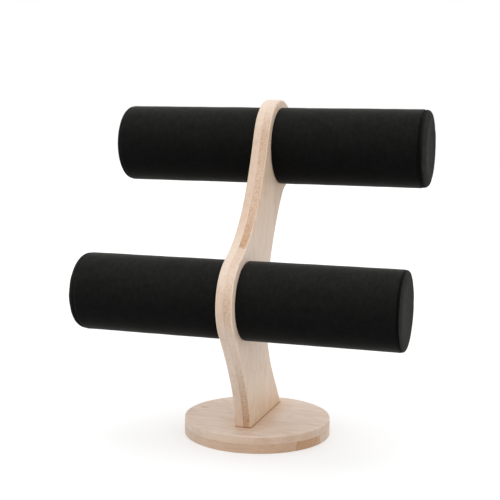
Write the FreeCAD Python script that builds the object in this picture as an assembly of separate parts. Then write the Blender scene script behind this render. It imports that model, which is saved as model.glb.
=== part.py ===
"""Bracelet display stand: a round wooden base, an S-shaped upright and four cloth-covered half rolls.

Millimetres, +Z up. X runs along the rolls, with the right-hand half rolls at +X. The front of the
stand faces -Y. The origin is the centre of the base's underside, and the upright's middle plane is X = 0.
"""
import FreeCAD, Part
import math
import os

# Base
base_diameter = 120.0
base_thickness = 14.2
base_top_round = 1.0
base_bottom_round = 0.6

# Upright: its board, its foot on the base, and the wood left around the rolls
upright_thickness = 13.2
upright_edge_round = 1.5
foot_front = 38.6
foot_back = 46.9
roll_margin = 7.0

# Roll axes: distance in front of or behind the base's centre, and height
lower_roll_forward = 51.3
lower_roll_height = 119.3
upper_roll_back = 38.2
upper_roll_height = 235.6

# Where the back edge stands upright between the rolls and the foot
waist_set_back = 2.5
waist_height = 105.0

# Headings of the upright's outline, in degrees from +Y towards +Z, where its curves meet
shin_heading = 90.0
belly_heading = 128.0
shoulder_heading = 25.0
head_front_heading = 63.0
head_rear_heading = -162.0
waist_heading = -90.0
heel_heading = -54.5

# How long each curve keeps the headings at its start and its end, as shares of its chord
shin_pull = (0.15, 0.52)
chest_pull = (0.44, 0.16)
nape_pull = (0.10, 0.36)
calf_pull = (0.42, 0.42)

# Half rolls: a card tube in a cloth cover, with a disc in each end and a padded cap on the outer one
roll_span = 261.5
tube_diameter = 60.0
tube_wall = 3.0
tube_end_round = 0.8
cover_thickness = 0.9
inner_disc_thickness = 12.0
outer_disc_thickness = 5.0
end_cap_thickness = 5.0
end_cap_inset = 0.8
end_cap_rim_round = 4.2
end_cap_back_round = 0.7
end_cap_dish_depth = 0.6
end_cap_dish_diameter = 44.0

# Studs through the upright, and the threaded inserts that they screw into
stud_diameter = 6.0
stud_tip_chamfer = 0.6
stud_hole_clearance = 0.25
insert_diameter = 9.0
insert_flange_diameter = 15.0
insert_flange_thickness = 1.2
insert_spare_depth = 1.5

# Countersunk screws from under the base into the foot
screw_diameter = 4.0
screw_length = 38.0
screw_tip_length = 4.0
screw_tip_diameter = 0.8
screw_hole_clearance = 0.2
screw_head_diameter = 8.0
screw_head_land = 0.4
screw_head_clearance = 0.3
screw_head_recess = 0.6
screw_slot_width = 1.1
screw_slot_length = 4.6
screw_slot_depth = 1.8
screw_front_inset = 18.0
screw_rear_inset = 31.0

# Sizes that follow
half_upright = upright_thickness / 2
roll_radius = tube_diameter / 2 + cover_thickness
head_radius = roll_radius + roll_margin
bore_radius = tube_diameter / 2 - tube_wall
roll_end = roll_span / 2
cap_seat = roll_end - end_cap_thickness
tube_start = half_upright + cover_thickness
tube_stop = cap_seat - cover_thickness
cover_round = tube_end_round + cover_thickness
screw_taper = (screw_head_diameter - screw_diameter) / 2
seat_height = screw_head_recess + screw_head_land
roll_axes = {
    "lower": FreeCAD.Vector(0, -lower_roll_forward, lower_roll_height),
    "upper": FreeCAD.Vector(0, upper_roll_back, upper_roll_height),
}
screw_places = {
    "front": FreeCAD.Vector(0, screw_front_inset - foot_front, 0),
    "back": FreeCAD.Vector(0, foot_back - screw_rear_inset, 0),
}

X_AXIS = FreeCAD.Vector(1, 0, 0)
Z_AXIS = FreeCAD.Vector(0, 0, 1)
ORIGIN = FreeCAD.Vector(0, 0, 0)


def heading(degrees):
    """Unit vector in the YZ plane, turned from +Y towards +Z."""
    angle = math.radians(degrees)
    return FreeCAD.Vector(0, math.cos(angle), math.sin(angle))


def rounded_path(corners):
    """Edges of an open path in the XY plane through (x, y, round) corners."""
    points = [FreeCAD.Vector(x, y, 0) for x, y, _ in corners]
    edges = []
    pen = points[0]
    for index in range(1, len(corners) - 1):
        corner = points[index]
        radius = corners[index][2]
        if not radius:
            edges.append(Part.LineSegment(pen, corner).toShape())
            pen = corner
            continue
        back = (points[index - 1] - corner).normalize()
        ahead = (points[index + 1] - corner).normalize()
        inward = (back + ahead).normalize()
        half_angle = back.getAngle(ahead) / 2
        reach = radius / math.tan(half_angle)
        start = corner + back * reach
        middle = corner + inward * (radius / math.sin(half_angle) - radius)
        stop = corner + ahead * reach
        edges.append(Part.LineSegment(pen, start).toShape())
        edges.append(Part.Arc(start, middle, stop).toShape())
        pen = stop
    edges.append(Part.LineSegment(pen, points[-1]).toShape())
    return edges


def turned(corners):
    """Solid turned about the X axis from a closed loop of (x, radius, round) corners."""
    loop = rounded_path(corners + [corners[0]])
    return Part.Face(Part.Wire(loop)).revolve(ORIGIN, X_AXIS, 360)


def curve(start, start_heading, stop, stop_heading, pull):
    """Cubic curve that leaves and arrives at the given headings."""
    chord = (stop - start).Length
    leave = start + heading(start_heading) * (pull[0] * chord)
    arrive = stop - heading(stop_heading) * (pull[1] * chord)
    bezier = Part.BezierCurve()
    bezier.setPoles([start, leave, arrive, stop])
    return bezier.toShape()


def around(axis, arriving, leaving):
    """Clockwise arc around a roll axis, between two headings of the outline."""
    start = axis + heading(arriving + 90) * head_radius
    middle = axis + heading((arriving + leaving) / 2 + 90) * head_radius
    stop = axis + heading(leaving + 90) * head_radius
    return start, Part.Arc(start, middle, stop).toShape(), stop


def upright_outline():
    """Closed side outline: foot, shin, belly, chest, head, nape and calf."""
    toe = FreeCAD.Vector(0, -foot_front, base_thickness)
    heel = FreeCAD.Vector(0, foot_back, base_thickness)
    waist = FreeCAD.Vector(0, waist_set_back, waist_height)
    belly_start, belly, belly_stop = around(roll_axes["lower"], belly_heading, shoulder_heading)
    head_start, head, head_stop = around(roll_axes["upper"], head_front_heading, head_rear_heading)
    shin = curve(toe, shin_heading, belly_start, belly_heading, shin_pull)
    chest = curve(belly_stop, shoulder_heading, head_start, head_front_heading, chest_pull)
    nape = curve(head_stop, head_rear_heading, waist, waist_heading, nape_pull)
    calf = curve(waist, waist_heading, heel, heel_heading, calf_pull)
    foot = Part.LineSegment(heel, toe).toShape()
    return Part.Wire([shin, belly, chest, head, nape, calf, foot])


def make_upright():
    """Laminated board with rounded long edges, a stud hole at each roll and pilot holes in its foot."""
    outline = upright_outline()
    outline.translate(X_AXIS * -half_upright)
    board = Part.Face(outline).extrude(X_AXIS * upright_thickness)
    side_edges = []
    for edge in board.Edges:
        box = edge.BoundBox
        in_side_face = box.XLength < upright_edge_round
        in_foot = box.ZMax < base_thickness + upright_edge_round
        if in_side_face and not in_foot:
            side_edges.append(edge)
    board = board.makeFillet(upright_edge_round, side_edges)
    for axis in roll_axes.values():
        start = axis - X_AXIS * upright_thickness
        hole_radius = stud_diameter / 2 + stud_hole_clearance
        board = board.cut(Part.makeCylinder(hole_radius, 2 * upright_thickness, start, X_AXIS))
    for place in screw_places.values():
        board = board.cut(screw_body(place))
    return board


def make_base():
    """Turned disc with two countersunk holes in its underside."""
    radius = base_diameter / 2
    loop = rounded_path([
        (0, 0, 0),
        (radius, 0, base_bottom_round),
        (radius, base_thickness, base_top_round),
        (0, base_thickness, 0),
        (0, 0, 0),
    ])
    section = Part.Face(Part.Wire(loop))
    section.rotate(ORIGIN, X_AXIS, 90)
    disc = section.revolve(ORIGIN, Z_AXIS, 360)
    hole_radius = screw_diameter / 2 + screw_hole_clearance
    head_radius_free = screw_head_diameter / 2 + screw_head_clearance
    cone_height = screw_head_diameter / 2 - hole_radius
    for place in screw_places.values():
        disc = disc.cut(Part.makeCylinder(hole_radius, base_thickness, place))
        disc = disc.cut(Part.makeCylinder(head_radius_free, seat_height, place))
        seat = place + Z_AXIS * seat_height
        disc = disc.cut(Part.makeCone(screw_head_diameter / 2, hole_radius, cone_height, seat))
    return disc


def screw_body(place):
    """Countersunk wood screw without its cross slot, head down, its head below the base's underside."""
    head_start = place + Z_AXIS * screw_head_recess
    cone_start = place + Z_AXIS * seat_height
    shank_start = cone_start + Z_AXIS * screw_taper
    tip_start = head_start + Z_AXIS * (screw_length - screw_tip_length)
    shank_length = tip_start.z - shank_start.z
    head = Part.makeCylinder(screw_head_diameter / 2, screw_head_land, head_start)
    cone = Part.makeCone(screw_head_diameter / 2, screw_diameter / 2, screw_taper, cone_start)
    shank = Part.makeCylinder(screw_diameter / 2, shank_length, shank_start)
    tip = Part.makeCone(screw_diameter / 2, screw_tip_diameter / 2, screw_tip_length, tip_start)
    return head.multiFuse([cone, shank, tip]).removeSplitter()


def make_screw(place):
    """Wood screw with a cross slot in its head."""
    screw = screw_body(place)
    slot_start = place + Z_AXIS * screw_head_recess
    for long_x, long_y in ((screw_slot_length, screw_slot_width), (screw_slot_width, screw_slot_length)):
        corner = slot_start - FreeCAD.Vector(long_x / 2, long_y / 2, 0)
        screw = screw.cut(Part.makeBox(long_x, long_y, screw_slot_depth, corner))
    return screw


def make_stud():
    """Stud through the upright, with a chamfer at each tip."""
    reach = half_upright + inner_disc_thickness - insert_spare_depth
    radius = stud_diameter / 2
    return turned([
        (-reach, 0, 0),
        (-reach, radius - stud_tip_chamfer, 0),
        (stud_tip_chamfer - reach, radius, 0),
        (reach - stud_tip_chamfer, radius, 0),
        (reach, radius - stud_tip_chamfer, 0),
        (reach, 0, 0),
    ])


def make_tube():
    """Card tube with softened rims."""
    radius = tube_diameter / 2
    return turned([
        (tube_start, bore_radius, 0),
        (tube_start, radius, tube_end_round),
        (tube_stop, radius, tube_end_round),
        (tube_stop, bore_radius, 0),
    ])


def make_cover():
    """Cloth cover, turned in over both rims of the tube."""
    radius = tube_diameter / 2
    return turned([
        (half_upright, bore_radius, 0),
        (half_upright, roll_radius, cover_round),
        (cap_seat, roll_radius, cover_round),
        (cap_seat, bore_radius, 0),
        (tube_stop, bore_radius, 0),
        (tube_stop, radius, tube_end_round),
        (tube_start, radius, tube_end_round),
        (tube_start, bore_radius, 0),
    ])


def make_inner_disc():
    """Wooden disc in the tube's inner end, bored and recessed for the insert."""
    flange_radius = insert_flange_diameter / 2
    flange_stop = half_upright + insert_flange_thickness
    stop = half_upright + inner_disc_thickness
    return turned([
        (half_upright, flange_radius, 0),
        (half_upright, bore_radius, 0),
        (stop, bore_radius, 0),
        (stop, insert_diameter / 2, 0),
        (flange_stop, insert_diameter / 2, 0),
        (flange_stop, flange_radius, 0),
    ])


def make_insert():
    """Flanged metal insert that the stud screws into."""
    flange_radius = insert_flange_diameter / 2
    flange_stop = half_upright + insert_flange_thickness
    stop = half_upright + inner_disc_thickness
    return turned([
        (half_upright, stud_diameter / 2, 0),
        (half_upright, flange_radius, 0),
        (flange_stop, flange_radius, 0),
        (flange_stop, insert_diameter / 2, 0),
        (stop, insert_diameter / 2, 0),
        (stop, stud_diameter / 2, 0),
    ])


def make_outer_disc():
    """Disc in the tube's outer end that the cap is glued to."""
    start = cap_seat - outer_disc_thickness
    return turned([
        (start, 0, 0),
        (start, bore_radius, 0),
        (cap_seat, bore_radius, 0),
        (cap_seat, 0, 0),
    ])


def make_end_cap():
    """Padded, cloth-covered cap: a soft round rim and a slightly dished face."""
    radius = roll_radius - end_cap_inset
    dish_radius = end_cap_dish_diameter / 2
    rim = rounded_path([
        (cap_seat, 0, 0),
        (cap_seat, radius, end_cap_back_round),
        (roll_end, radius, end_cap_rim_round),
        (roll_end, dish_radius, 0),
    ])
    ball_radius = (dish_radius**2 + end_cap_dish_depth**2) / (2 * end_cap_dish_depth)
    ball_centre = FreeCAD.Vector(roll_end - end_cap_dish_depth + ball_radius, 0, 0)
    half_angle = math.asin(dish_radius / ball_radius) / 2
    to_half_way = FreeCAD.Vector(-math.cos(half_angle), math.sin(half_angle), 0)
    rim_stop = FreeCAD.Vector(roll_end, dish_radius, 0)
    dish_middle = FreeCAD.Vector(roll_end - end_cap_dish_depth, 0, 0)
    dish = Part.Arc(rim_stop, ball_centre + to_half_way * ball_radius, dish_middle).toShape()
    axis_line = Part.LineSegment(dish_middle, FreeCAD.Vector(cap_seat, 0, 0)).toShape()
    section = Part.Face(Part.Wire(rim + [dish, axis_line]))
    return section.revolve(ORIGIN, X_AXIS, 360)


def place_half_rolls(nodes):
    """Puts every piece of a half roll on each side of the upright, at both roll axes."""
    pieces = {
        "tube": make_tube(),
        "cover": make_cover(),
        "inner_disc": make_inner_disc(),
        "insert": make_insert(),
        "outer_disc": make_outer_disc(),
        "end_cap": make_end_cap(),
    }
    for tier, axis in roll_axes.items():
        for name, piece in pieces.items():
            right = piece.copy()
            left = piece.mirror(ORIGIN, X_AXIS)
            right.translate(axis)
            left.translate(axis)
            nodes[f"{tier}_right_{name}"] = right
            nodes[f"{tier}_left_{name}"] = left


def main():
    """Builds every piece and writes one STEP file for each."""
    nodes = {
        "base_disc": make_base(),
        "upright": make_upright(),
    }
    for name, place in screw_places.items():
        nodes[f"foot_screw_{name}"] = make_screw(place)
    for tier, axis in roll_axes.items():
        stud = make_stud()
        stud.translate(axis)
        nodes[f"{tier}_stud"] = stud
    place_half_rolls(nodes)
    os.makedirs("parts", exist_ok=True)
    for name, shape in nodes.items():
        shape.exportStep(f"parts/{name}.step")
        print(name, shape.isValid(), len(shape.Solids), round(shape.Volume, 1))


main()
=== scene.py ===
"""Looks of the bracelet display stand: laminated wood, velvet sleeves, padded end caps, light and camera.

Metres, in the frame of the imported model: +Z up, X along the rolls, the front of the stand towards -Y.
"""
import math

import bmesh
import bpy
from mathutils import Matrix, Vector


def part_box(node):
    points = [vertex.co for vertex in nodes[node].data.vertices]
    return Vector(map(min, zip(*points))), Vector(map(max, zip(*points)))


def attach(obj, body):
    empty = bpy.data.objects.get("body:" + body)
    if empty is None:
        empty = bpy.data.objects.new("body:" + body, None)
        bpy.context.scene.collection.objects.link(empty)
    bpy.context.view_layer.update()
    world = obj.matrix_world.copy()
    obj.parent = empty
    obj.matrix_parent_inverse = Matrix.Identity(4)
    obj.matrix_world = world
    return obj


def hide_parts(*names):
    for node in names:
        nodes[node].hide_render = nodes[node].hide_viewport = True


MM = 0.001
touching = 0.1 * MM
merge_distance = 0.01 * MM
along_rolls = (0, math.radians(90), 0)

# The four half rolls
tiers = ("lower", "upper")
sides = ("left", "right")
outwards = {"left": -1, "right": 1}
between_tiers = 178 * MM

# Camera, fitted to the photograph's outlines
camera_place = (0.25795, -0.83718, 0.26767)
camera_turn = math.radians(17.62)
camera_dip = math.radians(7.517)
camera_roll = math.radians(0.619)
photo_width = 500
focal_length_in_pixels = 1085.7
sensor_width = 36.0

# Light: the surroundings, and for each soft lamp its bearing from the front, its height and its spread
# in degrees, and its strength
surroundings_strength = 0.75
seen_white = 1.0
lamps = {
    "lamp_left": {"bearing": -40, "height": 40, "spread": 50, "strength": 0.58},
    "lamp_top": {"bearing": 180, "height": 80, "spread": 60, "strength": 0.6},
    "lamp_right": {"bearing": 60, "height": 25, "spread": 50, "strength": 0.46},
}
floor_size = 8.0
floor_tone = 0.68
floor_glow = 0.4

# Sleeves: cloth thickness, how full they stand on the tubes, and how far they reach over their pads' sides
cloth_thickness = 0.9 * MM
fullness = {"lower": 0.0, "upper": 0.7 * MM}
sleeve_reach = {
    ("upper", "left"): 0.0, ("upper", "right"): 0.0,
    ("lower", "left"): 0.0, ("lower", "right"): 2.6 * MM,
}

# Sleeves: divisions round and along, lips and hems of the ends, seam, and how unevenly the cloth lies
sleeve_sides = 128
sleeve_rings = 56
lip_round = {"left": 0.5 * MM, "right": 1.2 * MM}
lip_steps = 5
turn_in = 3.0 * MM
seam_angle = math.radians(-32)
seam_half_width = 0.6 * MM
seam_steps = 2
seam_depth = 0.55 * MM
cloth_unevenness = 0.35 * MM
cloth_unevenness_spread = 16 * MM
unevenness_detail = 2

# End pads: one is modelled, and the others are copies of it, turned by so many degrees
modelled_pad = ("upper", "right")
pad_turns = {("upper", "left"): 140, ("lower", "right"): 65, ("lower", "left"): 230}

# End pads: how far each stands proud of its plain cap, then rims, rings and the dish of the face
pad_proud = {
    ("upper", "left"): -0.5 * MM, ("upper", "right"): 0.6 * MM,
    ("lower", "left"): 1.7 * MM, ("lower", "right"): 0.5 * MM,
}
pad_sides = 96
pad_rim_round = 4.2 * MM
pad_rim_steps = 7
pad_back_round = 0.7 * MM
pad_back_steps = 3
pad_rings = 12
middle_ring = 0.5
pressed_rings = 1.5
pad_dish_depth = 0.9 * MM
pad_dish_reach = 25 * MM
hem_clearance = 0.5 * MM
back_facing = -0.9

# End pads: the slack that the foam swells into, and how it swells under its cloth
pad_slack = 0.3 * MM
pad_glued_radius = 20 * MM
pad_pressure = 60.0
pad_cloth_quality = 6
pad_swell_limit = 0.5 * MM
pad_frames = 20
pad_unevenness = 0.25 * MM
pad_unevenness_spread = 9 * MM

# Wood tones on the display's scale: the paler and the browner wood on the plies' edges
edge_woods = ((234, 217, 202), (194, 153, 117))

# Boards: two plies stacked along one axis and glued at the seam, with the grain along another axis. Each
# ply's edge and the broad face have places along the grain in millimetres, and how brown the wood is there.
# Then come the paler and the browner wood of the broad face, and how strongly pores and figure show. The
# upright's first ply is its left one, and its second ply is joined from two lengths at 161 mm. The base's
# first ply is its lower one, with a darker piece let in between 44.8 and 57.5 mm.
upright_board = {
    "name": "upright_wood", "stack_axis": "X", "grain_axis": "Z", "seam": 0.2 * MM,
    "first_ply": [
        (14, 0.46), (22, 0.36), (34, 0.26), (50, 0.18), (70, 0.04), (90, 0.12), (112, 0.36), (128, 0.36),
        (142, 0.16), (160, 0.1), (176, 0.38), (190, 0.46), (215, 0.42), (240, 0.4), (248, 0.34), (258, 0.2),
        (275, 0.06),
    ],
    "second_ply": [
        (14, 0.84), (24, 0.72), (34, 0.6), (50, 0.46), (66, 0.26), (90, 0.1), (102, 0.28), (110, 0.48),
        (122, 0.5), (142, 0.26), (160.6, 0.34), (161, 0.94), (168, 0.84), (182, 0.66), (200, 0.56),
        (212, 0.52), (245, 0.62), (262, 0.26), (275, 0.1),
    ],
    "broad_face": [
        (14, 0.44), (26, 0.24), (40, 0.08), (80, 0.02), (160, 0.02), (176, 0.16), (200, 0.32), (216, 0.26),
        (250, 0.22), (275, 0.12),
    ],
    "face_woods": ((241, 220, 202), (199, 158, 97)),
    "pores": 1.0, "figure": 0.32,
}
base_board = {
    "name": "base_wood", "stack_axis": "Z", "grain_axis": "X", "seam": 7.4 * MM,
    "first_ply": [
        (-60, 0.4), (-30, 0.44), (0, 0.66), (25, 0.74), (44.4, 0.68), (44.8, 1.0), (50, 0.92), (57.5, 0.88),
        (57.9, 0.36), (60, 0.34),
    ],
    "second_ply": [(-60, 0.14), (-20, 0.18), (5, 0.42), (40, 0.44), (60, 0.28)],
    "broad_face": [(-60, 0.12), (-20, 0.05), (20, 0.0), (60, 0.06)],
    "face_woods": ((240, 221, 206), (198, 158, 114)),
    "pores": 0.5, "figure": 0.8,
}

# Marks in the wood: features to the metre along and across the grain, noise detail and roughness, the part
# of the noise that shows, and the tint that it gives
drift_marks = {"scale": (13, 85), "detail": 3.0, "roughness": 0.55, "shows": (0.42, 0.68),
               "tint": (0.93, 0.88, 0.83, 1)}
streak_marks = {"scale": (13, 430), "detail": 4.0, "roughness": 0.6, "shows": (0.45, 0.75),
                "tint": (0.91, 0.87, 0.83, 1)}
fibre_marks = {"scale": (95, 2400), "detail": 2.0, "roughness": 0.55, "shows": (0.5, 0.75),
               "tint": (0.93, 0.90, 0.87, 1)}
pore_marks = {"scale": (600, 950), "detail": 1.0, "roughness": 0.55, "shows": (0.46, 0.66),
              "tint": (0.72, 0.63, 0.54, 1)}
pores_by_brown = {"from": (0.15, 0.75), "to": (0.1, 1.0)}
face_turn = (0.3, 0.6)

# The wavering edge of a joint in a ply, and the flame figure of a flat-sawn face
waver_scale = (30, 260)
waver_detail = 2.0
waver_shows = (0.3, 0.7)
waver_reach = 0.8 * MM
flame_scale = (11, 30)
flame_detail = 2.0
flame_rings = 70.0
flame_shows = (0.2, 1.0)
flame_tint = (0.95, 0.92, 0.88, 1)

# Glue lines and varnish
seam_line_width = 0.3 * MM
seam_line_tint = (0.88, 0.83, 0.76, 1)
varnish_roughness = (0.46, 0.58)
varnish_specular = 0.45
streak_relief = 0.6
wood_relief = {"strength": 0.25, "depth": 0.1 * MM}

# Where the foot stands on the base: its toe and heel, the dark joint with painted contact shade, the glue
# round it with painted shade, and the warm tone beside it, which is painted bounce light
foot_on_base = (-38.6 * MM, 46.9 * MM)
joint_and_shade_line = (0.2 * MM, 1.3 * MM)
joint_and_shade_tint = (0.60, 0.47, 0.36, 1)
foot_glue_and_shade_line = (0.2 * MM, 1.1 * MM)
foot_glue_and_shade_tint = (0.80, 0.68, 0.57, 1)
painted_bounce_reach = 15 * MM
painted_bounce_tint = (0.97, 0.91, 0.83, 1)
well_above_underside = 10 * MM

# A brown fleck in the base's grain
fleck_place = (-49.5 * MM, 6.8 * MM)
fleck_half_length = 5 * MM
fleck_half_width = 2.4 * MM
fleck_shows = (0.1, 1.0)
fleck_tint = (0.82, 0.70, 0.60, 1)

# Velvet: painted tone of the pile in shade underneath and in light on top, its tone on the pads' faces
# (partly a lighter cloth, partly painted light), and its sheen
pile_in_shade = 0.0064
pile_in_light = 0.0215
pile_on_pad_face = 0.042
pile_warmth = 0.94
pile_up_turn = (-0.7, 0.9)
pile_up_power = 2.0
pad_face_turn = (0.2, 0.7)
# The flat middles of the pads' faces are darker than their rims: painted shade, so the rims read as a painted
# sheen
pad_middle_shade_turn = (0.75, 0.96)
pad_middle_painted_shade = (0.80, 0.80, 0.80, 1)
sleeve_sheen = 0.17
pad_sheen = 0.03
brushed_marks = {"scale": (50, 85, 85), "detail": 3.0, "roughness": 0.55, "shows": (0.32, 0.68),
                 "tint": (0.82, 0.82, 0.82, 1)}
stroke_marks = {"scale": (330, 210, 210), "detail": 3.0, "roughness": 0.7, "shows": (0.36, 0.64),
                "tint": (0.72, 0.72, 0.72, 1)}
tuft_marks = {"scale": (1500, 1500, 1500), "detail": 2.0, "roughness": 0.55, "shows": (0.35, 0.65),
              "tint": (0.7, 0.7, 0.7, 1)}
brushed_relief = 0.5
velvet_relief = {"strength": 0.2, "depth": 0.2 * MM}
# Painted shade in the crease between sleeve and pad at the right ends: its half width and its tint
crease_half_width = 1.7 * MM
painted_crease_shade = (0.1, 0.1, 0.1, 1)

# Hidden pieces: fibres of card and board, and the uneven gloss of zinc
card_marks = {"scale": (600, 1400, 1400), "detail": 4.0, "roughness": 0.55, "shows": (0.3, 0.7)}
board_marks = {"scale": (900, 900, 900), "detail": 5.0, "roughness": 0.7, "shows": (0.3, 0.7)}
plating_marks = {"scale": (900, 900, 900), "detail": 4.0, "roughness": 0.6, "shows": (0.3, 0.7)}
casting_marks = {"scale": (500, 500, 500), "detail": 4.0, "roughness": 0.6, "shows": (0.3, 0.7)}
metal_shade = 0.8
metal_gloss_range = 0.15
metal_relief = {"strength": 0.1, "depth": 0.05 * MM}


def plain_start():
    """Leaves edit mode and deselects everything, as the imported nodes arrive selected."""
    if bpy.context.object and bpy.context.object.mode == "EDIT":
        bpy.ops.object.mode_set(mode="OBJECT")
    bpy.ops.object.select_all(action="DESELECT")


def name_piece(name):
    """Names the active object and its mesh, and puts its place into the mesh."""
    piece = bpy.context.object
    piece.name = name
    piece.data.name = name
    bpy.ops.object.transform_apply(location=True, rotation=True, scale=True)
    return piece


def pick(piece, kind, wanted):
    """Selects the edges or the faces that pass the test, in edit mode."""
    bpy.ops.mesh.select_mode(type=kind)
    bpy.ops.mesh.select_all(action="DESELECT")
    mesh = bmesh.from_edit_mesh(piece.data)
    for element in (mesh.edges if kind == "EDGE" else mesh.faces):
        element.select = wanted(element)
    mesh.select_flush_mode()
    bmesh.update_edit_mesh(piece.data)


def pick_edges(piece, wanted):
    """Selects the edges whose ends both pass the test."""
    pick(piece, "EDGE", lambda edge: all(wanted(vert.co) for vert in edge.verts))


def settle_mesh(piece):
    """Merges doubles, turns the faces outwards and sorts them, in edit mode.

    The faces come in another order each run, and with each order the cloth would swell a little differently.
    """
    bpy.ops.mesh.select_all(action="SELECT")
    bpy.ops.mesh.remove_doubles(threshold=merge_distance)
    bpy.ops.mesh.normals_make_consistent(inside=False)
    mesh = bmesh.from_edit_mesh(piece.data)
    mesh.verts.index_update()
    count = len(mesh.verts)

    def rank(face):
        first, second, third = sorted(vert.index for vert in face.verts)[:3]
        return (first * count + second) * count + third

    mesh.faces.sort(key=rank)
    bmesh.update_edit_mesh(piece.data)


def add_unevenness(piece, strength, reach):
    """Pushes the surface in and out a little, as stretched cloth lies."""
    clouds = bpy.data.textures.new(f"{piece.name}_unevenness", "CLOUDS")
    clouds.noise_scale = reach
    clouds.noise_depth = unevenness_detail
    displace = piece.modifiers.new("unevenness", "DISPLACE")
    displace.texture = clouds
    displace.texture_coords = "LOCAL"
    displace.strength = strength
    displace.mid_level = 0.5
    bpy.ops.object.modifier_apply(modifier=displace.name)


def off_axis(point, middle):
    """Distance of a point from the axis of a roll through a middle point."""
    return math.hypot(point.y - middle.y, point.z - middle.z)


def sleeve_radius(tier, side):
    """Outer radius of a half roll's sleeve."""
    low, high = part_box(f"{tier}_{side}_cover")
    return (high.z - low.z) / 2 + fullness[tier]


def make_sleeve(tier, side):
    """Velvet sleeve stretched over a half roll: turned in at both ends and sewn along its back."""
    low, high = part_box(f"{tier}_{side}_cover")
    outer = high if side == "right" else low
    outer.x += outwards[side] * sleeve_reach[tier, side]
    middle = (low + high) / 2
    radius = sleeve_radius(tier, side)
    length = high.x - low.x

    plain_start()
    bpy.ops.mesh.primitive_cylinder_add(
        vertices=sleeve_sides, radius=radius, depth=length, end_fill_type="NOTHING",
        location=middle, rotation=along_rolls)
    sleeve = name_piece(f"velvet_sleeve_{tier}_{side}")
    bpy.ops.object.mode_set(mode="EDIT")

    def at_surface(point):
        return off_axis(point, middle) > radius - touching

    # turn the ends in over the tube's rims, and round the lips
    for end in (low.x, high.x):
        pick_edges(sleeve, lambda p: abs(p.x - end) < touching)
        bpy.ops.mesh.extrude_edges_move()
        shrink = (radius - turn_in) / radius
        bpy.ops.transform.resize(value=(1, shrink, shrink), center_override=(end, middle.y, middle.z))
        pick_edges(sleeve, lambda p: abs(p.x - end) < touching and at_surface(p))
        bpy.ops.mesh.bevel(offset=lip_round[side], segments=lip_steps, affect="EDGES")

    # rings along the length
    pick(sleeve, "EDGE", lambda edge: edge.calc_length() > length / 2)
    bpy.ops.mesh.subdivide(number_cuts=sleeve_rings)

    # the sewn seam: a narrow groove down the back
    step = 2 * math.pi / sleeve_sides
    seam_turn = round(seam_angle / step) * step

    def on_seam(point):
        around = math.atan2(point.z - middle.z, point.y - middle.y)
        return abs(around - seam_turn) * radius < touching and at_surface(point)

    pick_edges(sleeve, on_seam)
    bpy.ops.mesh.bevel(offset=seam_half_width, segments=seam_steps, affect="EDGES")
    pick_edges(sleeve, on_seam)
    inward = Vector((0, -math.cos(seam_turn), -math.sin(seam_turn)))
    bpy.ops.transform.translate(value=inward * seam_depth)
    settle_mesh(sleeve)
    bpy.ops.object.mode_set(mode="OBJECT")

    add_unevenness(sleeve, cloth_unevenness, cloth_unevenness_spread)
    cloth = sleeve.modifiers.new("cloth", "SOLIDIFY")
    cloth.thickness = cloth_thickness
    cloth.offset = -1
    bpy.ops.object.modifier_apply(modifier=cloth.name)
    bpy.ops.object.shade_smooth()

    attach(sleeve, "root")
    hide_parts(f"{tier}_{side}_cover")
    return sleeve


def pad_sizes(tier, side):
    """Middle of the pad's back, radius and depth: as wide as its sleeve, from the sleeve's end outwards."""
    low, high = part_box(f"{tier}_{side}_end_cap")
    reach = sleeve_reach[tier, side]
    back = (low + high) / 2
    back.x = (low.x if side == "right" else high.x) + outwards[side] * reach
    return back, sleeve_radius(tier, side), high.x - low.x - reach + pad_proud[tier, side]


def model_end_pad(tier, side):
    """Foam pad with a soft rim and a dished face of even rings, slightly smaller than it swells to."""
    back, radius, depth = pad_sizes(tier, side)
    radius -= pad_slack
    face_x = back.x + depth - pad_slack

    plain_start()
    bpy.ops.mesh.primitive_cylinder_add(
        vertices=pad_sides, radius=radius, depth=face_x - back.x, end_fill_type="NGON",
        location=((face_x + back.x) / 2, back.y, back.z), rotation=along_rolls)
    pad = name_piece(f"end_pad_{tier}_{side}")
    bpy.ops.object.mode_set(mode="EDIT")
    pick_edges(pad, lambda p: abs(p.x - face_x) < touching)
    bpy.ops.mesh.bevel(offset=pad_rim_round, segments=pad_rim_steps, affect="EDGES")
    pick_edges(pad, lambda p: abs(p.x - back.x) < touching)
    bpy.ops.mesh.bevel(offset=pad_back_round, segments=pad_back_steps, affect="EDGES")

    # even rings over the face and the back
    ring_step = (radius - pad_rim_round) / (pad_rings + middle_ring)
    for end_x in (face_x, back.x):
        pick(pad, "FACE", lambda face: len(face.verts) == pad_sides
             and abs(face.calc_center_median().x - end_x) < touching)
        for _ in range(pad_rings):
            bpy.ops.mesh.inset(thickness=ring_step, use_even_offset=False)
        bpy.ops.mesh.poke()
    settle_mesh(pad)

    # press the middle of the face in
    pick_edges(pad, lambda p: p.x > face_x - touching and off_axis(p, back) < pressed_rings * ring_step)
    bpy.ops.transform.translate(
        value=(-pad_dish_depth, 0, 0), use_proportional_edit=True, use_proportional_connected=True,
        proportional_edit_falloff="SMOOTH", proportional_size=pad_dish_reach)
    bpy.ops.object.mode_set(mode="OBJECT")
    return pad


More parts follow.
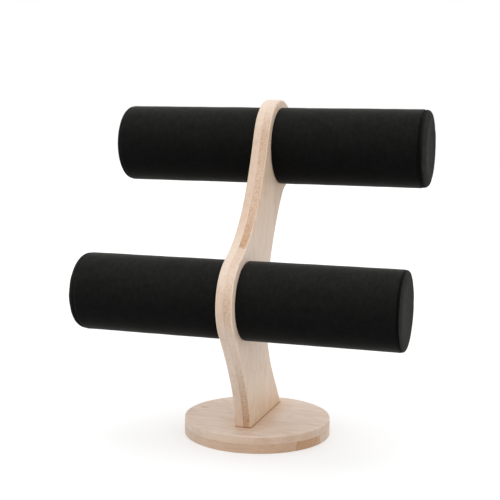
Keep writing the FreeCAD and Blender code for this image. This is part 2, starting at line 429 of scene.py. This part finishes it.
def swell(pad, back):
    """Blows the foam up under its cloth, glued at the back and held in the middle of its face."""
    before = [vert.co.copy() for vert in pad.data.vertices]
    held = pad.vertex_groups.new(name="held")
    for vert in pad.data.vertices:
        if vert.co.x - back.x < pad_back_round:
            hold = 1.0
        else:
            hold = max(0.0, 1.0 - (off_axis(vert.co, back) / pad_glued_radius) ** 2)
        held.add([vert.index], hold, "REPLACE")

    cloth = pad.modifiers.new("swelling", "CLOTH")
    cloth.settings.vertex_group_mass = held.name
    cloth.settings.effector_weights.gravity = 0
    cloth.settings.use_pressure = True
    cloth.settings.uniform_pressure_force = pad_pressure
    cloth.settings.quality = pad_cloth_quality
    cloth.point_cache.frame_start = 1
    cloth.point_cache.frame_end = pad_frames
    for frame_number in range(1, pad_frames + 1):
        bpy.context.scene.frame_set(frame_number)
    bpy.ops.object.modifier_apply(modifier=cloth.name)
    bpy.context.scene.frame_set(1)

    for vert, start in zip(pad.data.vertices, before):
        move = vert.co - start
        if move.length > pad_swell_limit:
            vert.co = start + move.normalized() * pad_swell_limit
    pad.vertex_groups.clear()


def fill_behind(pad, tier, side):
    """Foam behind a pad whose sleeve reaches past the tube: inside the hem, and down to the disc."""
    back, radius, _ = pad_sizes(tier, side)
    outward = outwards[side]
    plug_radius = radius - turn_in - hem_clearance
    pick(pad, "FACE", lambda face: face.normal.x * outward < back_facing
         and all(off_axis(vert.co, back) < plug_radius for vert in face.verts))
    bpy.ops.mesh.extrude_region_move(
        TRANSFORM_OT_translate={"value": (-outward * sleeve_reach[tier, side], 0, 0)})


def copy_end_pad(pad, tier, side):
    """Copy of the modelled pad for another half roll: turned, stretched to its size, mirrored on the left."""
    modelled_back, modelled_radius, modelled_depth = pad_sizes(*modelled_pad)
    back, radius, depth = pad_sizes(tier, side)
    copy = pad.copy()
    copy.data = pad.data.copy()
    bpy.context.scene.collection.objects.link(copy)
    copy.name = copy.data.name = f"end_pad_{tier}_{side}"
    deeper, wider = outwards[side] * depth / modelled_depth, radius / modelled_radius
    turn = Matrix.Rotation(math.radians(pad_turns[tier, side]), 4, "X")
    stretch = Matrix.Diagonal((deeper, wider, wider, 1))
    copy.data.transform(Matrix.Translation(back) @ stretch @ turn @ Matrix.Translation(-modelled_back))

    plain_start()
    copy.select_set(True)
    bpy.context.view_layer.objects.active = copy
    bpy.ops.object.mode_set(mode="EDIT")
    settle_mesh(copy)
    if sleeve_reach[tier, side]:
        fill_behind(copy, tier, side)
    bpy.ops.object.mode_set(mode="OBJECT")
    return copy


def make_end_pads():
    """Padded velvet caps: one is modelled and swollen, and the others are copied from it."""
    pad = model_end_pad(*modelled_pad)
    swell(pad, pad_sizes(*modelled_pad)[0])
    add_unevenness(pad, pad_unevenness, pad_unevenness_spread)
    smoother = pad.modifiers.new("smoother", "SUBSURF")
    smoother.levels = 1
    smoother.render_levels = 1
    bpy.ops.object.modifier_apply(modifier=smoother.name)
    bpy.ops.object.shade_smooth()

    pads = {place: copy_end_pad(pad, *place) for place in pad_turns}
    pads[modelled_pad] = pad
    for (tier, side), piece in pads.items():
        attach(piece, "root")
        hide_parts(f"{tier}_{side}_end_cap")
    return pads.values()


def srgb(red, green, blue):
    """Linear colour of a 0 to 255 display colour."""
    def linear(value):
        value = value / 255
        return value / 12.92 if value <= 0.04045 else ((value + 0.055) / 1.055) ** 2.4
    return (linear(red), linear(green), linear(blue), 1.0)


def new_material(name):
    """A node material with its tree, its principled shader and the object's own coordinates."""
    material = bpy.data.materials.new(name)
    material.use_nodes = True
    tree = material.node_tree
    place = add(tree, "ShaderNodeTexCoord", {}).outputs["Object"]
    return material, tree, tree.nodes["Principled BSDF"], place


def feed(tree, socket, value):
    """Links a node's output to an input, or sets the input to a plain value."""
    if isinstance(value, bpy.types.NodeSocket):
        tree.links.new(value, socket)
    else:
        socket.default_value = value


def add(tree, kind, settings, **inputs):
    """Adds a node, sets it up and feeds its inputs: from_0 is the first input, others go by name."""
    node = tree.nodes.new(kind)
    for key, value in settings.items():
        setattr(node, key, value)
    for key, value in inputs.items():
        place = int(key[5:]) if key.startswith("from_") else key.replace("_", " ")
        feed(tree, node.inputs[place], value)
    return node


def set_surface(tree, surface, **inputs):
    """Feeds the inputs of a principled shader by name."""
    for key, value in inputs.items():
        feed(tree, surface.inputs[key.replace("_", " ")], value)


def math_node(tree, operation, first, second=0.0):
    """One sum on numbers."""
    return add(tree, "ShaderNodeMath", {"operation": operation}, from_0=first, from_1=second).outputs[0]


def times(tree, first, *others):
    """Product of numbers."""
    for other in others:
        first = math_node(tree, "MULTIPLY", first, other)
    return first


def total(tree, first, *others):
    """Sum of numbers."""
    for other in others:
        first = math_node(tree, "ADD", first, other)
    return first


def apart(tree, first, second):
    """Distance between two numbers."""
    return math_node(tree, "ABSOLUTE", math_node(tree, "SUBTRACT", first, second))


def parts_of(tree, vector):
    """The X, Y and Z of a vector, by name."""
    return add(tree, "ShaderNodeSeparateXYZ", {}, Vector=vector).outputs


def surface_normal(tree):
    """The X, Y and Z of the surface's normal, by name."""
    return parts_of(tree, add(tree, "ShaderNodeNewGeometry", {}).outputs["Normal"])


def spread(tree, value, low, high, to_low=0.0, to_high=1.0):
    """Maps a number from one range to another, clamped."""
    return add(tree, "ShaderNodeMapRange", {"clamp": True}, Value=value, From_Min=low, From_Max=high,
               To_Min=to_low, To_Max=to_high).outputs[0]


def fade(tree, distance, near, far):
    """1 up to the near distance, and 0 from the far distance on."""
    return spread(tree, distance, near, far, 1.0, 0.0)


def stretched_noise(tree, place, scale, detail, roughness=0.55):
    """Noise whose features are stretched along the axis with the smaller scale."""
    mapping = add(tree, "ShaderNodeMapping", {"vector_type": "POINT"}, Vector=place, Scale=scale)
    noise = add(tree, "ShaderNodeTexNoise", {"noise_dimensions": "3D"}, Vector=mapping.outputs[0],
                Scale=1.0, Detail=detail, Roughness=roughness)
    return noise.outputs["Fac"]


def mark_share(tree, place, marks, scale, most=1.0):
    """How strongly marks show, from 0 to the most."""
    noise = stretched_noise(tree, place, scale, marks["detail"], marks["roughness"])
    return spread(tree, noise, *marks["shows"], 0.0, most)


def mix(tree, kind, share, first, second):
    """Mixes two colours by a share."""
    node = add(tree, "ShaderNodeMix", {"data_type": "RGBA", "blend_type": kind})
    feed(tree, node.inputs["Factor"], share)
    feed(tree, node.inputs[6], first)
    feed(tree, node.inputs[7], second)
    return node.outputs[2]


def tint(tree, colour, share, by):
    """Multiplies a colour by another, by a share."""
    return mix(tree, "MULTIPLY", share, colour, by)


def blend(tree, share, first, second):
    """Goes from one colour to another by a share."""
    return mix(tree, "MIX", share, first, second)


def add_relief(tree, surface, height, strength, depth, inward=False):
    """Fine relief of a surface, from a height."""
    bump = add(tree, "ShaderNodeBump", {"invert": inward}, Strength=strength, Distance=depth, Height=height)
    tree.links.new(bump.outputs[0], surface.inputs["Normal"])


def brownness(tree, along, ply):
    """How brown a ply is along its grain: each entry is a place in millimetres and a share of brown."""
    first, last = ply[0][0], ply[-1][0]
    share = spread(tree, along, first * MM, last * MM)
    ramp = add(tree, "ShaderNodeValToRGB", {}, Fac=share)
    stops = ramp.color_ramp.elements
    stops.remove(stops[1])
    stops[0].color = (ply[0][1],) * 3 + (1,)
    for place, brown in ply[1:]:
        stop = stops.new((place - first) / (last - first))
        stop.color = (brown,) * 3 + (1,)
    return ramp.outputs[0]


def laminated_wood(board, finish):
    """Two glued plies of light wood, sanded and matt varnished, with the grain along one axis."""
    material, tree, surface, place = new_material(board["name"])
    parts = parts_of(tree, place)
    stack = parts[board["stack_axis"]]

    def by_grain(scale):
        along, across = scale
        return [along if axis == board["grain_axis"] else across for axis in "XYZ"]

    # plies on the edges, one board on the broad faces
    waver = stretched_noise(tree, place, by_grain(waver_scale), waver_detail)
    waver = spread(tree, waver, *waver_shows, -waver_reach, waver_reach)
    along = total(tree, parts[board["grain_axis"]], waver)
    over_seam = math_node(tree, "GREATER_THAN", stack, board["seam"])
    second_brown = brownness(tree, along, board["second_ply"])
    edge_brown = blend(tree, over_seam, brownness(tree, along, board["first_ply"]), second_brown)
    edge = blend(tree, edge_brown, srgb(*edge_woods[0]), srgb(*edge_woods[1]))
    pale, brown = board["face_woods"]
    face = blend(tree, brownness(tree, along, board["broad_face"]), srgb(*pale), srgb(*brown))
    turned = math_node(tree, "ABSOLUTE", surface_normal(tree)[board["stack_axis"]])
    on_face = spread(tree, turned, *face_turn)
    off_face = math_node(tree, "SUBTRACT", 1.0, on_face)
    tone = blend(tree, on_face, edge, face)

    # broad drift, the flame figure of a flat-sawn face, streaks and fine fibres
    drift = mark_share(tree, place, drift_marks, by_grain(drift_marks["scale"]), board["figure"])
    tone = tint(tree, tone, drift, drift_marks["tint"])
    sway = stretched_noise(tree, place, by_grain(flame_scale), flame_detail)
    flame = math_node(tree, "SINE", times(tree, sway, flame_rings))
    flame = times(tree, spread(tree, flame, *flame_shows), on_face)
    tone = tint(tree, tone, flame, flame_tint)
    streak = mark_share(tree, place, streak_marks, by_grain(streak_marks["scale"]))
    tone = tint(tree, tone, streak, streak_marks["tint"])
    fibre = mark_share(tree, place, fibre_marks, by_grain(fibre_marks["scale"]))
    tone = tint(tree, tone, fibre, fibre_marks["tint"])

    # open pores where the second ply is cut across its fibres, most in its browner wood
    pores = mark_share(tree, place, pore_marks, by_grain(pore_marks["scale"]), board["pores"])
    browner = spread(tree, second_brown, *pores_by_brown["from"], *pores_by_brown["to"])
    pores = times(tree, pores, off_face, over_seam, browner)
    tone = tint(tree, tone, pores, pore_marks["tint"])

    # the glue line between the plies
    line = fade(tree, apart(tree, stack, board["seam"]), 0.0, seam_line_width)
    tone = tint(tree, tone, times(tree, line, off_face), seam_line_tint)
    tone = finish(tree, parts, on_face, tone)

    gloss = spread(tree, streak, 0.0, 1.0, *varnish_roughness)
    set_surface(tree, surface, Base_Color=tone, Roughness=gloss, Specular_IOR_Level=varnish_specular)
    relief = total(tree, fibre, times(tree, streak, streak_relief), pores)
    add_relief(tree, surface, relief, **wood_relief, inward=True)
    return material


def foot_joint_and_shade(tree, parts, on_face, tone):
    """Dark line where the foot stands on the base: partly the glued joint, partly painted contact shade."""
    # the joint line darkened as painted contact shade as well
    over_joint = math_node(tree, "SUBTRACT", parts["Z"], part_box("base_disc")[1].z)
    return tint(tree, tone, fade(tree, over_joint, *joint_and_shade_line), joint_and_shade_tint)


def round_the_foot(tree, parts, on_face, tone):
    """The glued line round the foot with painted shade in it, the warmer tone beside it that is painted
    bounce light from the foot, and one brown fleck in the grain.
    """
    on_top = times(tree, on_face, math_node(tree, "GREATER_THAN", parts["Z"], well_above_underside))
    toe, heel = foot_on_base
    beside = math_node(tree, "SUBTRACT", math_node(tree, "ABSOLUTE", parts["X"]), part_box("upright")[1].x)
    before = math_node(tree, "SUBTRACT", toe, parts["Y"])
    behind = math_node(tree, "SUBTRACT", parts["Y"], heel)
    across = math_node(tree, "MAXIMUM", beside, 0.0)
    along = math_node(tree, "MAXIMUM", math_node(tree, "MAXIMUM", before, behind), 0.0)
    away = total(tree, times(tree, across, across), times(tree, along, along))
    away = math_node(tree, "SQRT", away)
    # glue line round the foot, darkened further as painted shade at the contact
    tone = tint(tree, tone, times(tree, fade(tree, away, *foot_glue_and_shade_line), on_top), foot_glue_and_shade_tint)
    # painted bounce light: warm light reflected from the foot onto the base beside it
    tone = tint(tree, tone, times(tree, fade(tree, away, 0.0, painted_bounce_reach), on_top), painted_bounce_tint)

    fleck_x, fleck_y = fleck_place
    along = math_node(tree, "DIVIDE", apart(tree, parts["X"], fleck_x), fleck_half_length)
    across = math_node(tree, "DIVIDE", apart(tree, parts["Y"], fleck_y), fleck_half_width)
    from_fleck = total(tree, times(tree, along, along), times(tree, across, across))
    return tint(tree, tone, times(tree, fade(tree, from_fleck, *fleck_shows), on_top), fleck_tint)


def pile_tone(value):
    """Near black of the pile, a little warm."""
    return (value, value, value * pile_warmth, 1)


def velvet(name, sheen, creases, lit_face=None):
    """Short black pile, brushed in soft strokes, with painted light: lighter on top and darker underneath; on
    the pads lighter on the faces (partly a lighter cloth) with painted shade in their flat middles; painted
    shade in the right ends' crease.
    """
    material, tree, surface, place = new_material(name)
    normal = surface_normal(tree)
    # painted light and shade: the pile is lighter the more it faces up and darker underneath
    painted_top_light = math_node(tree, "POWER", spread(tree, normal["Z"], *pile_up_turn), pile_up_power)
    tone = blend(tree, painted_top_light, (pile_in_shade, pile_in_shade, pile_in_shade, 1), pile_tone(pile_in_light))
    # on the pads, lighter the more the surface faces out along the roll: partly a lighter cloth on the faces,
    # partly painted light
    if lit_face:
        outward = math_node(tree, "ABSOLUTE", normal["X"])
        tone = blend(tree, spread(tree, outward, *pad_face_turn), tone, pile_tone(lit_face))
        # painted shade in the flat middle of each pad's face, so its rim reads as a painted sheen
        tone = tint(tree, tone, spread(tree, outward, *pad_middle_shade_turn), pad_middle_painted_shade)

    # brushed patches, strokes and single tufts
    shares = []
    for marks in (brushed_marks, stroke_marks, tuft_marks):
        shares.append(mark_share(tree, place, marks, marks["scale"]))
        tone = tint(tree, tone, shares[-1], marks["tint"])
    brushed, strokes, tufts = shares

    # painted shade in the crease between sleeve and pad, at the right ends
    parts = parts_of(tree, place)
    lower_crease, upper_crease = creases
    on_upper = math_node(tree, "GREATER_THAN", parts["Z"], between_tiers)
    crease = spread(tree, on_upper, 0.0, 1.0, lower_crease, upper_crease)
    in_painted_crease_shade = fade(tree, apart(tree, parts["X"], crease), 0.0, crease_half_width)
    tone = tint(tree, tone, in_painted_crease_shade, painted_crease_shade)

    set_surface(tree, surface, Base_Color=tone, Roughness=0.95, Specular_IOR_Level=0.05,
                Sheen_Weight=sheen, Sheen_Roughness=0.35, Sheen_Tint=pile_tone(1.0))
    relief = total(tree, tufts, times(tree, brushed, brushed_relief), strokes)
    add_relief(tree, surface, relief, **velvet_relief)
    return material


def pressed_fibres(name, marks, first, second, roughness, strength, depth):
    """Raw card or board: brown fibres of two tones."""
    material, tree, surface, place = new_material(name)
    fibre = mark_share(tree, place, marks, marks["scale"])
    tone = blend(tree, fibre, srgb(*first), srgb(*second))
    set_surface(tree, surface, Base_Color=tone, Roughness=roughness)
    add_relief(tree, surface, fibre, strength, depth)
    return material


def metal(name, marks, tone, roughness):
    """Plated or cast metal with a fine uneven gloss."""
    material, tree, surface, place = new_material(name)
    share = mark_share(tree, place, marks, marks["scale"])
    dark = tuple(metal_shade * value for value in tone) + (1.0,)
    shaded = blend(tree, share, tone + (1.0,), dark)
    gloss = spread(tree, share, 0.0, 1.0, roughness, roughness + metal_gloss_range)
    set_surface(tree, surface, Base_Color=shaded, Roughness=gloss, Metallic=1.0)
    add_relief(tree, surface, share, **metal_relief)
    return material


def dress(piece, material):
    """Gives a piece its material."""
    piece.data.materials.clear()
    piece.data.materials.append(material)


def seen_by_eye(tree):
    """1 for camera, mirror and glass rays, which see the background as white."""
    path = add(tree, "ShaderNodeLightPath", {})
    seen = math_node(tree, "MAXIMUM", path.outputs["Is Camera Ray"], path.outputs["Is Glossy Ray"])
    return math_node(tree, "MAXIMUM", seen, path.outputs["Is Transmission Ray"])


def set_surroundings():
    """Even white surroundings."""
    world = bpy.data.worlds.new("surroundings")
    bpy.context.scene.world = world
    world.use_nodes = True
    tree = world.node_tree
    background = tree.nodes["Background"]
    background.inputs["Color"].default_value = (1, 1, 1, 1)
    strength = spread(tree, seen_by_eye(tree), 0.0, 1.0, surroundings_strength, seen_white)
    tree.links.new(strength, background.inputs["Strength"])


def lay_floor():
    """White floor that keeps the object's shadow."""
    plain_start()
    bpy.ops.mesh.primitive_plane_add(size=floor_size)
    floor = name_piece("floor")
    material, tree, surface, _ = new_material("floor_white")
    set_surface(tree, surface, Base_Color=(floor_tone, floor_tone, floor_tone, 1), Roughness=0.9,
                Specular_IOR_Level=0.1, Emission_Color=(1, 1, 1, 1),
                Emission_Strength=times(tree, seen_by_eye(tree), floor_glow))
    dress(floor, material)


def hang_lamps():
    """Wide soft lamps, far off, that light the stand evenly."""
    for name, lamp in lamps.items():
        light = bpy.data.lights.new(name, "SUN")
        light.energy = lamp["strength"]
        light.angle = math.radians(lamp["spread"])
        holder = bpy.data.objects.new(name, light)
        bpy.context.scene.collection.objects.link(holder)
        turn = Matrix.Rotation(math.radians(lamp["bearing"]), 4, "Z")
        tip = Matrix.Rotation(math.radians(90 - lamp["height"]), 4, "X")
        holder.matrix_world = turn @ tip


def set_camera():
    """Camera at the photograph's viewpoint."""
    data = bpy.data.cameras.new("camera")
    data.sensor_width = sensor_width
    data.lens = focal_length_in_pixels / photo_width * sensor_width
    camera = bpy.data.objects.new("camera", data)
    bpy.context.scene.collection.objects.link(camera)
    turn = Matrix.Rotation(camera_turn, 4, "Z")
    dip = Matrix.Rotation(math.radians(90) - camera_dip, 4, "X")
    roll = Matrix.Rotation(camera_roll, 4, "Z")
    camera.matrix_world = Matrix.Translation(camera_place) @ turn @ dip @ roll
    bpy.context.scene.camera = camera


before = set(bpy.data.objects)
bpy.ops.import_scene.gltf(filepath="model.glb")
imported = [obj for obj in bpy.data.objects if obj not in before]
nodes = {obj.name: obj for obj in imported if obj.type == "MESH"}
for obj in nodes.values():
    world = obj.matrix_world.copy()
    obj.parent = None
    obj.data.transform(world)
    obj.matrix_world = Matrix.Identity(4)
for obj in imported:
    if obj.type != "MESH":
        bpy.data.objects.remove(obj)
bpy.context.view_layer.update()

right_creases = [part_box(f"{tier}_right_cover")[1].x + sleeve_reach[tier, "right"] for tier in tiers]
sleeve_velvet = velvet("black_velvet", sleeve_sheen, right_creases)
pad_velvet = velvet("end_pad_velvet", pad_sheen, right_creases, lit_face=pile_on_pad_face)
wound_card = pressed_fibres("wound_card", card_marks, (176, 150, 118), (198, 173, 141),
                            roughness=0.85, strength=0.2, depth=0.1 * MM)
raw_board = pressed_fibres("raw_fibreboard", board_marks, (165, 136, 104), (196, 168, 132),
                           roughness=0.8, strength=0.25, depth=0.15 * MM)
bright_zinc = metal("bright_zinc_plating", plating_marks, tone=(0.70, 0.71, 0.73), roughness=0.25)
cast_zinc = metal("cast_zinc_alloy", casting_marks, tone=(0.58, 0.59, 0.61), roughness=0.4)

dress(nodes["upright"], laminated_wood(upright_board, foot_joint_and_shade))
dress(nodes["base_disc"], laminated_wood(base_board, round_the_foot))
for name in ("foot_screw_front", "foot_screw_back"):
    dress(nodes[name], bright_zinc)
for tier in tiers:
    dress(nodes[f"{tier}_stud"], bright_zinc)
    for side in sides:
        dress(nodes[f"{tier}_{side}_tube"], wound_card)
        dress(nodes[f"{tier}_{side}_inner_disc"], raw_board)
        dress(nodes[f"{tier}_{side}_outer_disc"], raw_board)
        dress(nodes[f"{tier}_{side}_insert"], cast_zinc)
        dress(make_sleeve(tier, side), sleeve_velvet)
for pad in make_end_pads():
    dress(pad, pad_velvet)

set_surroundings()
lay_floor()
hang_lamps()
set_camera()
bpy.context.scene.view_settings.view_transform = "Standard"
